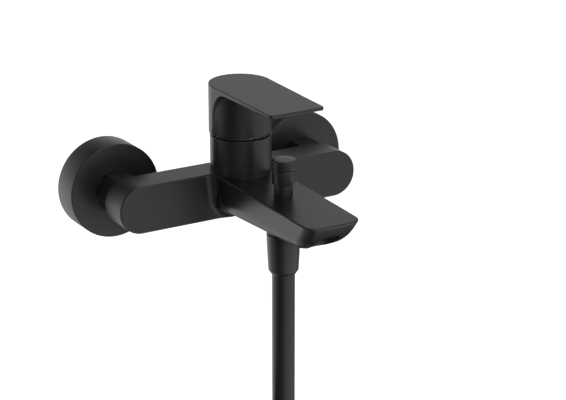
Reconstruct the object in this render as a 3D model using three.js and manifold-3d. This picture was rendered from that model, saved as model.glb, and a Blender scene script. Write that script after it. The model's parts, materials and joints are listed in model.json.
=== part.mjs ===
// Wall mounted bath faucet with a single lever, a pull diverter and a shower hose.
// Millimetres, +Z up. The wall is the plane y = 0 and the faucet stands out along -Y.
// The origin is on the wall, midway between the two inlets, at their height.
import * as THREE from 'three';
import { mergeVertices } from 'three/addons/utils/BufferGeometryUtils.js';
import Module from 'manifold-3d';

// ---------------------------------------------------------------- driving dimensions
const GAP = 0.3; // clearance between touching pieces
const INLET_X = 75; // half of the 150 mm inlet spacing
const BRANCH_RISE = 9; // the wall unions' offset between wall thread and nut

const BAR = { z: -0.8, radius: 16.8, arcX: 76.6, front: -66.6, rear: -42.2 };
const TOWER = { y: -66.6, radius: 21.3, top: 42.2 };
const SPOUT = {
  halfRoot: 21.5, halfTip: 20.6, tip: -191.2, cornerRadius: 8, bow: 1.6, topRoot: 15.9, topTip: 12.9,
  bottomRoot: -14.7, bottomRise: 0.045, bottomRadius: 12.5, draft: 0.1, rootFillet: 7, edgeFillet: 8,
};
// Under its top edge the tip's front leans back: [depth under the top, setback].
const TIP = [[0, 0], [3.5, 2.3], [7.5, 5.3], [11.5, 8.7], [15.5, 12.5], [18.5, 16.5], [20.5, 20.5], [22, 26]];
const TIP_LEAN = 0.75; // setback over depth, on average
// The outlet's axis leans forwards and comes out through the leaning front, by way of a wider mouth.
const OUTLET = {
  tilt: THREE.MathUtils.degToRad(26), y: -175.8, z: -5.6,
  mouth: 11.4, mouthDepth: 4.5, radius: 10, depth: 12.7,
};
const DIVERTER = { y: -124, seatRadius: 11.4, seatFoot: -12.7 };
const HANDLE = {
  bottom: 42.5, radius: 21.3, rearRadius: 22, front: -142.4, halfFront: 20.8, cornerRadius: 2.5,
  topAtAxis: 78.15, topSlope: 0.0158, undersideAtAxis: 74.95, undersideSlope: 0.006,
};
const LEVER_FOOT = { recess: 1, height: 1.8 };
const PIVOT = { y: -60.6, z: 46, lift: THREE.MathUtils.degToRad(18) };
const ESCUTCHEON = { radius: 33.7, depth: 22.2, wall: 1.6, hole: 12.2 };
const UNION_NUT = { acrossFlats: 26.7, rear: -22.6, front: -41.9 };
const HOSE = { radius: 7.85, coilZ: -246, coilRadius: 94, turns: 2, pitch: 16.5 };
// Heights that the hose passes on its way down to the coil, and from the coil down to its end.
// With the two turns between them it is 1600 mm long.
const HOSE_RUN = [-40, -52, -66, -82, -98, -114, -130, -146, -162, -178, -194, -210, -228, -246];
const HOSE_TAIL = [-246, -268, -290, -312, -334, -356, -378, -400, -420, -440, -458.3];

// ---------------------------------------------------------------- materials
const finish = (color, roughness, metalness) =>
  new THREE.MeshStandardMaterial({ color, roughness, metalness });
const MATT_BLACK = finish(0x1c1d1f, 0.42, 0.3);
const HOSE_BLACK = finish(0x17181a, 0.5, 0);
const BRASS = finish(0xb5974f, 0.35, 1);
const STEEL = finish(0xb9bcc0, 0.3, 1);
const RUBBER = finish(0x141414, 0.85, 0);
const CERAMIC = finish(0xe6e1d8, 0.25, 0);
const GREY_PLASTIC = finish(0x6a6e73, 0.5, 0);
const PALE_PLASTIC = finish(0xd9dade, 0.45, 0);

// ---------------------------------------------------------------- geometry helpers
const wasm = await Module();
wasm.setup();

// Position-only indexed geometry with no degenerate faces, its faces turned outwards.
function welded(source) {
  const bare = source.clone();
  bare.deleteAttribute('normal');
  bare.deleteAttribute('uv');
  const merged = mergeVertices(bare, 1e-4);
  const position = merged.getAttribute('position');
  const faces = [];
  const corners = [new THREE.Vector3(), new THREE.Vector3(), new THREE.Vector3()];
  let volume = 0;
  for (let i = 0; i < merged.index.count; i += 3) {
    const face = [0, 1, 2].map((k) => merged.index.getX(i + k));
    if (face[0] === face[1] || face[1] === face[2] || face[2] === face[0]) continue;
    face.forEach((vertex, k) => corners[k].fromBufferAttribute(position, vertex));
    volume += corners[0].dot(corners[1].clone().cross(corners[2]));
    faces.push(face);
  }
  if (volume < 0) faces.forEach((face) => face.reverse());
  merged.setIndex(faces.flat());
  return merged;
}

function solid(source) {
  const geometry = welded(source);
  return new wasm.Manifold(new wasm.Mesh({
    numProp: 3,
    vertProperties: new Float32Array(geometry.getAttribute('position').array),
    triVerts: new Uint32Array(geometry.index.array),
  }));
}

function geometryOf(manifold) {
  const result = manifold.getMesh();
  const geometry = new THREE.BufferGeometry();
  geometry.setAttribute('position', new THREE.BufferAttribute(result.vertProperties, 3));
  geometry.setIndex(new THREE.BufferAttribute(result.triVerts, 1));
  return geometry;
}

const join = (...pieces) => pieces.map(solid).reduce((sum, next) => sum.add(next));
const cut = (whole, ...tools) =>
  geometryOf(tools.map(solid).reduce((rest, tool) => rest.subtract(tool), whole));

function piece(name, geometry, material) {
  const mesh = new THREE.Mesh(welded(geometry), material);
  mesh.name = name;
  return mesh;
}

function group(children, x = 0, y = 0, z = 0) {
  const result = new THREE.Group();
  result.position.set(x, y, z);
  result.add(...children);
  return result;
}

const basis = (x, y, z) => new THREE.Matrix4().makeBasis(x, y, z);
const X = new THREE.Vector3(1, 0, 0);
const Y = new THREE.Vector3(0, 1, 0);
const Z = new THREE.Vector3(0, 0, 1);

function prism(shape, depth, segments = 12) {
  return new THREE.ExtrudeGeometry(shape, { depth, bevelEnabled: false, curveSegments: segments });
}

// Shape drawn in XY, from height low to height high.
function prismZ(shape, low, high, segments) {
  return prism(shape, high - low, segments).translate(0, 0, low);
}

// Shape drawn in XZ, from y = rear forwards to y = front.
function prismY(shape, rear, front, segments) {
  return prism(shape, rear - front, segments)
    .applyMatrix4(basis(X, Z, Y.clone().negate()))
    .translate(0, rear, 0);
}

// Shape drawn in YZ, centred on x = 0.
function prismX(shape, width, segments) {
  return prism(shape, width, segments).applyMatrix4(basis(Y, Z, X)).translate(-width / 2, 0, 0);
}

// Mating round faces of one size get the same facets, so that their clearance holds all round.
const facets = (radius) => [[3, 12], [7, 16], [13, 20], [19.5, 28], [Infinity, 40]]
  .find(([limit]) => radius < limit)[1];

// [radius, height] pairs turned about the Z axis.
function turned(profile, segments = facets(Math.max(...profile.map(([radius]) => radius)))) {
  const points = profile.map(([radius, height]) => new THREE.Vector2(radius, height));
  return new THREE.LatheGeometry(points, segments).rotateX(Math.PI / 2);
}

// A ring or tube: the profile closes on itself.
const ring = (profile, segments) => turned([...profile, profile[0]], segments);
const tube = (inner, outer, low, high, segments) =>
  ring([[inner, low], [outer, low], [outer, high], [inner, high]], segments);

function rod(radius, low, high, segments) {
  return turned([[0, low], [radius, low], [radius, high], [0, high]], segments);
}

// A round bar along Y from y = rear forwards to y = front, at x and z.
function rodY(radius, rear, front, x, z, segments) {
  return rod(radius, -rear, -front, segments).rotateX(Math.PI / 2).translate(x, 0, z);
}

function rodX(radius, from, to, y, z, segments) {
  return rod(radius, from, to, segments).rotateY(Math.PI / 2).translate(0, y, z);
}

function polygon(points) {
  return new THREE.Shape(points.map(([a, b]) => new THREE.Vector2(a, b)));
}

function hexagon(acrossFlats) {
  const corner = acrossFlats / Math.sqrt(3);
  const points = [0, 1, 2, 3, 4, 5].map((k) => (k * Math.PI) / 3);
  return polygon(points.map((angle) => [corner * Math.cos(angle), corner * Math.sin(angle)]));
}

const torus = (major, minor, z) =>
  new THREE.TorusGeometry(major, minor, 6, facets(major)).translate(0, 0, z);

// Closed skin through equal rings of points, with flat ends.
function loft(rings) {
  const count = rings[0].length;
  const position = rings.flat().flatMap((point) => [point.x, point.y, point.z]);
  const index = [];
  for (let r = 0; r + 1 < rings.length; r += 1) {
    for (let i = 0; i < count; i += 1) {
      const next = (i + 1) % count;
      const [a, b] = [r * count + i, r * count + next];
      index.push(a, b, b + count, a, b + count, a + count);
    }
  }
  const last = (rings.length - 1) * count;
  for (let i = 1; i + 1 < count; i += 1) {
    index.push(0, i + 1, i, last, last + i, last + i + 1);
  }
  const geometry = new THREE.BufferGeometry();
  geometry.setAttribute('position', new THREE.Float32BufferAttribute(position, 3));
  geometry.setIndex(index);
  return geometry;
}

// ---------------------------------------------------------------- body casting
function barSolid() {
  const { radius, arcX, z, rear, front } = BAR;
  const outline = new THREE.Shape();
  outline.moveTo(-arcX, z - radius);
  outline.lineTo(arcX, z - radius);
  outline.absarc(arcX, z, radius, -Math.PI / 2, Math.PI / 2, false);
  outline.lineTo(-arcX, z + radius);
  outline.absarc(-arcX, z, radius, Math.PI / 2, (3 * Math.PI) / 2, false);
  return prismY(outline, rear, front, 14);
}

// How far a concave fillet still stands out at a distance from the wall it springs from.
function filletReach(distance, radius) {
  const rest = THREE.MathUtils.clamp(radius - distance, 0, radius);
  return radius - Math.sqrt(radius * radius - rest * rest);
}

// U-shaped section: flat top, sides leaning inwards, round lower corners.
function spoutSection(y) {
  const out = BAR.front - y;
  const share = THREE.MathUtils.clamp(out / (BAR.front - SPOUT.tip), 0, 1);
  const reach = filletReach(out, SPOUT.rootFillet);
  const edgeReach = filletReach(out, SPOUT.edgeFillet);
  const half = THREE.MathUtils.lerp(SPOUT.halfRoot, SPOUT.halfTip, share);
  const top = THREE.MathUtils.lerp(SPOUT.topRoot, SPOUT.topTip, share);
  const keel = SPOUT.bottomRoot + SPOUT.bottomRise * out - reach;
  const bottom = Math.max(keel, BAR.z - BAR.radius + 0.1);
  const radius = SPOUT.bottomRadius + reach / 2;
  const lean = Math.atan(SPOUT.draft);
  const lowHalf = half + reach - (top - bottom - radius) * SPOUT.draft;
  const corner = [];
  for (let k = 0; k <= 7; k += 1) {
    const angle = -lean - (k / 7) * (Math.PI / 2 - lean);
    corner.push([lowHalf - radius + radius * Math.cos(angle), bottom + radius + radius * Math.sin(angle)]);
  }
  const right = [[half + edgeReach, top], ...corner];
  const left = right.map(([x, z]) => [-x, z]).reverse();
  return [...right, ...left].map(([x, z]) => new THREE.Vector3(x, y, z));
}

function outletFrame(geometry) {
  return geometry.rotateX(-OUTLET.tilt).translate(0, OUTLET.y, OUTLET.z);
}

function spoutSolid() {
  const stations = [-60, -66.6, -67.2, -68.4, -70.2, -72.4, -75, -78, -81, -95, -125, -160, -195];
  const skin = solid(loft(stations.map(spoutSection)));
  const { tip, halfTip, cornerRadius: round, bow, topTip } = SPOUT;
  const plan = new THREE.Shape();
  plan.moveTo(-40, -55);
  plan.lineTo(-40, -80);
  plan.lineTo(-halfTip - 0.3, tip + bow + round);
  plan.quadraticCurveTo(-halfTip + 0.2, tip + bow, -halfTip + round, tip + bow * 0.5);
  plan.quadraticCurveTo(0, tip - bow * 0.5, halfTip - round, tip + bow * 0.5);
  plan.quadraticCurveTo(halfTip - 0.2, tip + bow, halfTip + 0.3, tip + bow + round);
  plan.lineTo(40, -80);
  plan.lineTo(40, -55);
  const leaning = TIP.map(([depth, setback]) => [tip + setback, topTip - depth]);
  const follow = new THREE.Matrix4().makeShear(0, 0, 0, 0, 0, -TIP_LEAN);
  const outline = prismZ(plan, -30, 30, 6).translate(0, 0, -topTip).applyMatrix4(follow);
  const side = polygon([[-55, 30], [tip, 30], ...leaning, [leaning.at(-1)[0], -30], [-55, -30]]);
  return skin
    .intersect(solid(outline.translate(0, 0, topTip)))
    .intersect(solid(prismX(side, 90)));
}

const PORTS = [
  { name: 'hot', x: -7, y: TOWER.y + 5 },
  { name: 'cold', x: 7, y: TOWER.y + 5 },
  { name: 'mixed', x: 0, y: TOWER.y - 8 },
];

function waterways() {
  const feeds = [-1, 1].flatMap((side) => [
    rodY(8.3, -41, -50.3, side * INLET_X, 0),
    rodY(6, -49, -59.5, side * INLET_X, 0),
    rodX(4.2, Math.min(side * 4.5, side * INLET_X), Math.max(side * 4.5, side * INLET_X), -58.6, -3),
  ]);
  const ports = PORTS.map(({ x, y }) => rod(2.6, -3, 8).translate(x, y, 0));
  return [
    ...feeds,
    ...ports,
    rodY(4.2, -73, -118, 0, -0.8),
    rodY(3, -128, -176, 0, 7.9),
  ];
}

function body() {
  const tower = rod(TOWER.radius, -5, TOWER.top).translate(0, TOWER.y, 0);
  const atDiverter = (low, high, radius) => rod(radius, low, high).translate(0, DIVERTER.y, 0);
  const seat = atDiverter(DIVERTER.seatFoot, -4, DIVERTER.seatRadius);
  const shell = join(barSolid(), tower, seat).add(spoutSolid());
  const geometry = cut(
    shell,
    rod(17.8, 7, 45).translate(0, TOWER.y, 0),
    rod(18.6, 33, 45).translate(0, TOWER.y, 0),
    rod(20.4, 41, 45).translate(0, TOWER.y, 0),
    ...waterways(),
    atDiverter(-25, -6.7, 9.3),
    atDiverter(-6.8, 5.5, 8.5),
    atDiverter(5, 7.2, 5.5),
    atDiverter(7, 10.5, 7),
    atDiverter(10, 25, 6),
    outletFrame(rod(OUTLET.mouth, -20, OUTLET.mouthDepth)),
    outletFrame(rod(OUTLET.radius, 4, OUTLET.depth)),
  );
  return piece('body', geometry, MATT_BLACK);
}

// ---------------------------------------------------------------- ceramic cartridge
function cartridge() {
  const throughPorts = PORTS.map(({ x, y }) => rod(2.6, 0, 30).translate(x, y - TOWER.y, 0));
  const pockets = PORTS.map(({ x, y }) => rod(5, 5, 9.4).translate(x, y - TOWER.y, 0));
  const seals = PORTS.map(({ name, x, y }) =>
    group([piece(`port_seal_${name}`, torus(3.7, 0.85, 8.2), RUBBER)], x, y - TOWER.y, 0));
  const base = cut(solid(rod(17.4, 8.4, 12.3)), ...throughPorts, ...pockets);
  const fixedDisc = cut(solid(rod(14.1, 12.6, 16.4)), ...throughPorts);
  const housing = ring([
    [14.6, 12.6], [17.5, 12.6], [17.5, 33.1], [14.2, 33.1], [14.2, 40.5],
    [10.7, 40.5], [10.7, 30], [14.6, 30],
  ]);
  const retainer = ring([
    [14.6, 33.4], [18.2, 33.4], [18.2, 39], [16.8, 39.8], [16.8, 40.9], [14.6, 40.9],
  ]);
  return group([
    piece('cartridge_base', base, PALE_PLASTIC),
    piece('fixed_disc', fixedDisc, CERAMIC),
    piece('cartridge_housing', housing, PALE_PLASTIC),
    piece('retaining_nut', retainer, BRASS),
    ...seals,
    piece('seam_ring', tube(18.9, 20.1, 41.3, 42.1), RUBBER),
  ], 0, TOWER.y, 0);
}

// The disc and its carrier rest towards the wall and slide forwards as the lever lifts.
function slidingDiscs() {
  const restShift = 3.5;
  const disc = cut(solid(rod(9.6, 16.7, 20.5)), rod(5, 10, 18.7));
  const tipPocket = new THREE.BoxGeometry(9, 7.4, 8).translate(0, 0, 25.4);
  const carrier = cut(solid(rod(9.6, 20.8, 25.2)), tipPocket);
  return group([
    piece('moving_disc', disc, CERAMIC),
    piece('disc_carrier', carrier, PALE_PLASTIC),
  ], 0, TOWER.y + restShift, 0);
}

function rotor() {
  const forkSlot = new THREE.BoxGeometry(8.8, 17, 60).translate(0, 0, 45);
  const forkGap = new THREE.BoxGeometry(8.8, 30, 60).translate(0, 0, 60);
  const pinHole = rodX(1.9, -20, 20, PIVOT.y - TOWER.y, PIVOT.z);
  const fork = cut(join(rod(14.1, 25.5, 29.7), rod(10.2, 29, 52)), forkSlot, forkGap, pinHole);
  return group([
    piece('rotor_fork', fork, GREY_PLASTIC),
    piece('pivot_pin', rodX(1.55, -7.9, 7.9, PIVOT.y - TOWER.y, PIVOT.z), STEEL),
  ], 0, TOWER.y, 0);
}

// ---------------------------------------------------------------- lever
function stem() {
  const side = polygon([
    [-65.6, 21.8], [-60.6, 21.8], [-60.6, 34], [-57.4, 38], [-57.4, 52],
    [-62, 56], [-62, 69], [-71, 69], [-71, 38], [-65.6, 34],
  ]);
  return piece('lever_stem', cut(solid(prismX(side, 8.2)), rodX(1.9, -20, 20, PIVOT.y, PIVOT.z)), STEEL);
}

// Plan of the lever: a half circle at the wall side, straight sides, a square front.
function handlePlan() {
  const { rearRadius, front, halfFront, cornerRadius: round } = HANDLE;
  const plan = new THREE.Shape();
  plan.moveTo(rearRadius, TOWER.y);
  plan.absarc(0, TOWER.y, rearRadius, 0, Math.PI, false);
  plan.lineTo(-halfFront, front + round);
  plan.quadraticCurveTo(-halfFront, front, -halfFront + round, front);
  plan.lineTo(halfFront - round, front);
  plan.quadraticCurveTo(halfFront, front, halfFront, front + round);
  return plan;
}

// Everything that would dip below the tower's top at full lift is cut away behind the pivot.
function liftRelief() {
  const room = TOWER.top + 0.35 - PIVOT.z;
  const floorAt = (y) => PIVOT.z + (room + (y - PIVOT.y) * Math.sin(PIVOT.lift)) / Math.cos(PIVOT.lift);
  return prismX(polygon([[-75, 20], [-30, 20], [-30, floorAt(-30)], [-75, floorAt(-75)]]), 60);
}

function handle() {
  const { radius, bottom, topAtAxis, topSlope, undersideAtAxis, undersideSlope } = HANDLE;
  const topAt = (y) => topAtAxis + topSlope * (y - TOWER.y);
  const undersideAt = (y) => undersideAtAxis + undersideSlope * (y - TOWER.y);
  const fillet = 5;
  const flare = [0, 1, 2, 3].map((k) => {
    const angle = (k * Math.PI) / 6;
    return [radius + fillet * (1 - Math.cos(angle)), undersideAtAxis - fillet * (1 - Math.sin(angle))];
  });
  const foot = bottom + LEVER_FOOT.height;
  const column = turned([
    [0, bottom], [radius - LEVER_FOOT.recess, bottom], [radius, foot],
    ...flare, [radius + fillet, 82], [0, 82],
  ]).translate(0, TOWER.y, 0);
  const rearWall = rod(22.5, foot + 1, 82).translate(0, TOWER.y, 0);
  const behind = new THREE.BoxGeometry(60, 40, 90).translate(0, TOWER.y + 20, 60);
  const plate = polygon([[-150, undersideAt(-150)], [-40, undersideAt(-40)], [-40, 84], [-150, 84]]);
  const top = polygon([[-150, 30], [-40, 30], [-40, topAt(-40)], [-150, topAt(-150)]]);
  const form = solid(column)
    .add(solid(prismX(plate, 60)))
    .add(solid(rearWall).intersect(solid(behind)))
    .intersect(solid(prismX(top, 60)))
    .intersect(solid(prismZ(handlePlan(), 30, 90, 20)));
  const cavity = rod(18.2, 30, 62).translate(0, TOWER.y, 0);
  const stemPocket = new THREE.BoxGeometry(8.8, 9.6, 10).translate(0, -66.5, 65);
  const geometry = cut(
    form,
    cavity,
    stemPocket,
    liftRelief(),
    rodY(2.8, -47, -64, 0, 66),
    rodY(4.2, -40, -48.8, 0, 66),
  );
  return piece('handle', geometry, MATT_BLACK);
}

function grubScrew() {
  const shaft = rodY(2.5, -49.2, -61.3, 0, 66);
  const socket = prismY(hexagon(2.5), -48, -52.2).translate(0, 0, 66);
  return piece('lever_grub_screw', cut(solid(shaft), socket), STEEL);
}

const lever = () => group([
  handle(),
  stem(),
  grubScrew(),
  piece('index_plug', rodY(3.9, -45.3, -48.5, 0, 66), GREY_PLASTIC),
]);

// ---------------------------------------------------------------- diverter
function spring(major, wire, low, high, turns) {
  class Helix extends THREE.Curve {
    getPoint(t, target = new THREE.Vector3()) {
      const angle = 2 * Math.PI * turns * t;
      const height = low + wire + t * (high - low - 2 * wire);
      return target.set(major * Math.cos(angle), major * Math.sin(angle), height);
    }
  }
  const section = new THREE.Shape();
  section.absarc(0, 0, wire, 0, 2 * Math.PI, false);
  const options = { steps: turns * 10, curveSegments: 3, bevelEnabled: false, extrudePath: new Helix() };
  return new THREE.ExtrudeGeometry(section, options);
}

function diverter() {
  const bush = ring([
    [2.1, 11.4], [3.3, 11.4], [3.3, 9.6], [5.7, 9.6], [5.7, 15], [6.4, 15.3],
    [6.4, 21.7], [6.1, 22], [5.2, 22], [5.2, 30.7], [2.1, 30.7],
  ]);
  const sleeve = ring([
    [5.5, 22.3], [7.7, 22.3], [7.7, 31.7], [7.2, 32.3], [2.1, 32.3], [2.1, 31.2], [5.5, 31.2],
  ]);
  const cap = turned([
    [0, 36.3], [2.1, 36.3], [2.1, 32.6], [7.8, 32.6], [8.2, 33], [8.2, 38.8],
    [7.8, 39.2], [0, 39.2],
  ]);
  const stopRod = turned([[0, -9.6], [3.4, -9.6], [3.4, -8.2], [1.8, -7.6], [1.8, 36], [0, 36]]);
  return group([
    piece('diverter_bush', bush, MATT_BLACK),
    piece('diverter_sleeve', sleeve, MATT_BLACK),
    piece('diverter_cap', cap, MATT_BLACK),
    piece('diverter_rod', stopRod, STEEL),
    piece('diverter_rod_seal', torus(2.55, 0.4, 10.5), RUBBER),
    piece('diverter_poppet', tube(2.1, 7.6, -5, -3), BRASS),
    piece('diverter_poppet_seal', tube(2.1, 6.9, -6.6, -5.3), RUBBER),
    piece('diverter_spring', spring(4.2, 0.45, -2.7, 9.3, 4), STEEL),
  ], 0, DIVERTER.y, 0);
}

// ---------------------------------------------------------------- water jet former
function jetFormer() {
  const housing = ring([[8.2, 4.8], [9.7, 4.8], [9.7, 11.3], [7, 11.3], [7, 9.9], [8.2, 9.9]]);
  const holes = [new THREE.Vector2(0, 0)];
  for (let k = 0; k < 6; k += 1) {
    const angle = (k * Math.PI) / 3;
    holes.push(new THREE.Vector2(4.6 * Math.cos(angle), 4.6 * Math.sin(angle)));
  }
  const drills = holes.map((at) => rod(1.3, 0, 12).translate(at.x, at.y, 0));
  const insert = cut(solid(rod(7.9, 5.4, 9.6)), ...drills);
  return [
    piece('jet_housing', outletFrame(housing), MATT_BLACK),
    piece('jet_insert', outletFrame(insert), GREY_PLASTIC),
    piece('jet_seal', outletFrame(torus(8.6, 0.5, 12)), RUBBER),
  ];
}

// ---------------------------------------------------------------- wall inlets
function wallUnion(side) {
  const rear = rodY(10.3, 16, -9, 0, BRANCH_RISE);
  const front = rodY(10.4, -5, -27, 0, 0);
  const collar = rodY(13.4, -4.6, -9.6, 0, BRANCH_RISE / 2);
  const drilled = cut(
    join(rear, front, collar),
    rodY(7, 20, -7, 0, BRANCH_RISE),
    rodY(7, -6.5, -30, 0, 0),
  );
  return piece(`wall_union_${side}`, drilled, BRASS);
}

function escutcheon(side) {
  const { radius, depth, wall, hole } = ESCUTCHEON;
  const profile = ring([
    [radius - wall, 0], [radius, 0], [radius, depth - 0.5], [radius - 0.5, depth],
    [hole, depth], [hole, depth - wall], [radius - wall, depth - wall],
  ], 48);
  return piece(`escutcheon_${side}`, profile.rotateX(Math.PI / 2), MATT_BLACK);
}

function unionNut(side) {
  const { acrossFlats, rear, front } = UNION_NUT;
  const bores = [rodY(10.7, -20, -34, 0, 0), rodY(8.4, -30, -50, 0, 0)];
  const nut = cut(solid(prismY(hexagon(acrossFlats), rear, front)), ...bores);
  return piece(`union_nut_${side}`, nut, MATT_BLACK);
}

// Profiles here are [radius, distance from the wall].
function inlet(side, x) {
  const fromWall = (profile, segments) => ring(profile, segments).rotateX(Math.PI / 2);
  const tail = fromWall([
    [6.3, 31], [10.4, 31], [10.4, 33.6], [8, 33.6], [8, 50], [4.6, 50], [4.6, 48.2], [6.3, 48.2],
  ]);
  const seal = tube(10.8, ESCUTCHEON.hole - GAP, 20.7, 22.2).rotateX(Math.PI / 2);
  const washer = fromWall([[6.5, 27.4], [10.3, 27.4], [10.3, 30.6], [6.5, 30.6]]);
  const valve = fromWall([[2.6, 37], [6, 37], [6, 47.8], [4.7, 47.8], [4.7, 39], [2.6, 39]]);
  const poppet = turned([[0, 36], [1.2, 36], [1.2, 39.3], [4.1, 39.3], [4.1, 40.8], [1.2, 42], [0, 42]]);
  return group([
    wallUnion(side),
    escutcheon(side),
    unionNut(side),
    piece(`escutcheon_seal_${side}`, seal, RUBBER),
    piece(`strainer_washer_${side}`, washer, RUBBER),
    piece(`body_tail_${side}`, tail, BRASS),
    piece(`check_valve_${side}`, valve, GREY_PLASTIC),
    piece(`check_poppet_${side}`, poppet.rotateX(Math.PI / 2), PALE_PLASTIC),
  ], x, 0, 0);
}

// ---------------------------------------------------------------- shower hose
function hoseTop() {
  const nut = ring([
    [9.3, -13], [11.5, -13], [11.4, -18], [10.3, -39], [8.7, -41.4],
    [8.2, -41.4], [8.2, -32.3], [9.3, -32.3],
  ]);
  const nipple = tube(5.4, 9, -27, -7);
  const washer = tube(4.6, 9, -29.5, -27.3);
  const ferrule = ring([[4.6, -39.7], [7.8, -39.7], [7.8, -32], [9, -32], [9, -29.8], [4.6, -29.8]]);
  return [
    piece('shower_nipple', nipple, MATT_BLACK),
    piece('hose_nut', nut, MATT_BLACK),
    piece('hose_washer', washer, RUBBER),
    piece('hose_ferrule', ferrule, BRASS),
  ];
}

const HALF_CHORD = Math.sqrt((HOSE.coilRadius + HOSE.radius) ** 2 - (HOSE.coilRadius - HOSE.radius) ** 2);
const COIL_SHIFT = HOSE.turns * HOSE.pitch;
// Where the straight stretches meet the coil's ring, and where the hose ends.
const COIL_TOP = HOSE.coilZ + HALF_CHORD + 1;
const COIL_FOOT = HOSE.coilZ - HALF_CHORD - 1;
const TAIL_END = HOSE_TAIL.at(-1);

function straightHose(name, heights, shift) {
  const path = new THREE.CatmullRomCurve3(heights.map((z) => new THREE.Vector3(0, shift, z)));
  const section = new THREE.Shape();
  section.absarc(0, 0, HOSE.radius, 0, 2 * Math.PI, false);
  const steps = Math.ceil(path.getLength() / 40);
  const options = { steps, curveSegments: 6, bevelEnabled: false, extrudePath: path };
  return piece(name, new THREE.ExtrudeGeometry(section, options), HOSE_BLACK);
}

// The coil hangs in a plane parallel to the wall, its turns side by side towards the wall.
function coil() {
  const { coilRadius, radius, coilZ } = HOSE;
  const [inner, outer] = [coilRadius - radius, coilRadius + radius];
  const [near, far] = [-radius, COIL_SHIFT + radius];
  const edge = 4;
  const section = [
    [inner, near + edge], [inner + edge, near], [outer - edge, near], [outer, near + edge],
    [outer, far - edge], [outer - edge, far], [inner + edge, far], [inner, far - edge],
  ];
  const shape = ring(section, 28).rotateX(-Math.PI / 2).translate(-coilRadius, 0, coilZ);
  return piece('hose_coil', shape, HOSE_BLACK);
}

// A strap round all the turns, on the side away from the straight hose.
function coilTie() {
  const { coilRadius, radius, coilZ } = HOSE;
  const box = (margin) => {
    const width = 2 * (radius + margin);
    const depth = COIL_SHIFT + 2 * (radius + margin);
    return new THREE.BoxGeometry(width, depth, margin > 1 ? 12 : 40)
      .translate(-2 * coilRadius, COIL_SHIFT / 2, coilZ);
  };
  return piece('coil_tie', cut(solid(box(2.6)), box(1)), RUBBER);
}

function hoseEnd() {
  const at = (profile) => ring(profile.map(([r, z]) => [r, TAIL_END + z])).translate(0, COIL_SHIFT, 0);
  const ferrule = at([[4.6, -GAP], [7.8, -GAP], [7.8, -8], [9, -8], [9, -10.2], [4.6, -10.2]]);
  const nut = at([
    [8.2, 2.2], [8.7, 2.2], [10.2, -1.8], [11.3, -25.6], [11.3, -26.6],
    [9.3, -26.6], [9.3, -7.7], [8.2, -7.7],
  ]);
  const washer = at([[4.6, -10.5], [9, -10.5], [9, -12.7], [4.6, -12.7]]);
  return [
    piece('hose_end_ferrule', ferrule, BRASS),
    piece('hose_end_nut', nut, MATT_BLACK),
    piece('hose_end_washer', washer, RUBBER),
  ];
}

const hose = () => group([
  ...hoseTop(),
  straightHose('hose_run', [...HOSE_RUN.filter((z) => z > COIL_TOP), COIL_TOP], 0),
  coil(),
  coilTie(),
  straightHose('hose_tail', [COIL_FOOT, ...HOSE_TAIL.filter((z) => z < COIL_FOOT)], COIL_SHIFT),
  ...hoseEnd(),
], 0, DIVERTER.y, 0);

// ---------------------------------------------------------------- assembly
export default group([
  body(),
  cartridge(),
  slidingDiscs(),
  rotor(),
  lever(),
  diverter(),
  ...jetFormer(),
  inlet('left', -INLET_X),
  inlet('right', INLET_X),
  hose(),
]);
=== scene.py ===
import json
import math

import bmesh
import bpy
import numpy as np
from mathutils import Matrix, Vector


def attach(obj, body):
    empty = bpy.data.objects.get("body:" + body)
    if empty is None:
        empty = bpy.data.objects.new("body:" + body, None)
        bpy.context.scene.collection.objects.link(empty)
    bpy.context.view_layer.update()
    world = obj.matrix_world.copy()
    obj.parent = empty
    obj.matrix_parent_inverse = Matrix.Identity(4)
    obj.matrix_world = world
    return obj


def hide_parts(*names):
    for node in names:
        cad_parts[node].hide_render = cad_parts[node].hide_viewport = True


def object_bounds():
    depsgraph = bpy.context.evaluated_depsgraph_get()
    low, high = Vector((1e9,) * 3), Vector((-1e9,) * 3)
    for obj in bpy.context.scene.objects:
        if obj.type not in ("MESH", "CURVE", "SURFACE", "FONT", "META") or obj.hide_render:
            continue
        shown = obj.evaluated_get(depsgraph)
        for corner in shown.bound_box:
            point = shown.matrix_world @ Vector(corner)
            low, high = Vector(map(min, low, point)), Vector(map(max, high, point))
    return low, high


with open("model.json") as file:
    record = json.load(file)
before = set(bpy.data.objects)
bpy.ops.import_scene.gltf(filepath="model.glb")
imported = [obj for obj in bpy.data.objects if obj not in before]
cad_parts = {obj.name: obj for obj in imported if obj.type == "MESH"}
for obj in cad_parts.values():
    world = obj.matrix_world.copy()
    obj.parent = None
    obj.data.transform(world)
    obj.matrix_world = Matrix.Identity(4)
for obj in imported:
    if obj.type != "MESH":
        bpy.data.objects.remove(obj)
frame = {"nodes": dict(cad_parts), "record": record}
cad_low, cad_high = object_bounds()

# Lengths here are millimetres, like the part's own drawing, and meshes are made in metres.
MM = 0.001

# ---------------------------------------------------------------- driving dimensions
BAR = {"z": -0.8, "radius": 16.8, "arc_x": 76.6, "front": -66.6, "rear": -42.2, "edge": 0.9}
TOWER = {"y": -66.6, "radius": 21.3, "foot": -8.0, "top": 42.2, "edge": 0.4}
SPOUT = {
    "half_root": 21.5, "half_tip": 20.6, "tip": -191.2, "top_root": 15.9, "top_tip": 12.9,
    "bottom_root": -14.7, "bottom_rise": 0.045, "bottom_radius": 12.5, "draft": 0.1, "rear": -50.0,
    "root_fillet": 7.0, "corner": 6.5, "edge": 0.9, "tip_edge": 1.3, "tip_edge_from": 22.0,
    "tip_edge_run": 20.0, "lean": 0.6, "curl": 0.0135, "bow": 0.00315, "advance": 0.4,
}
OUTLET = {
    "tilt": math.radians(26), "y": -175.8, "z": -5.6,
    "mouth": 11.4, "mouth_depth": 4.5, "radius": 10.0, "depth": 12.7,
}
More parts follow.
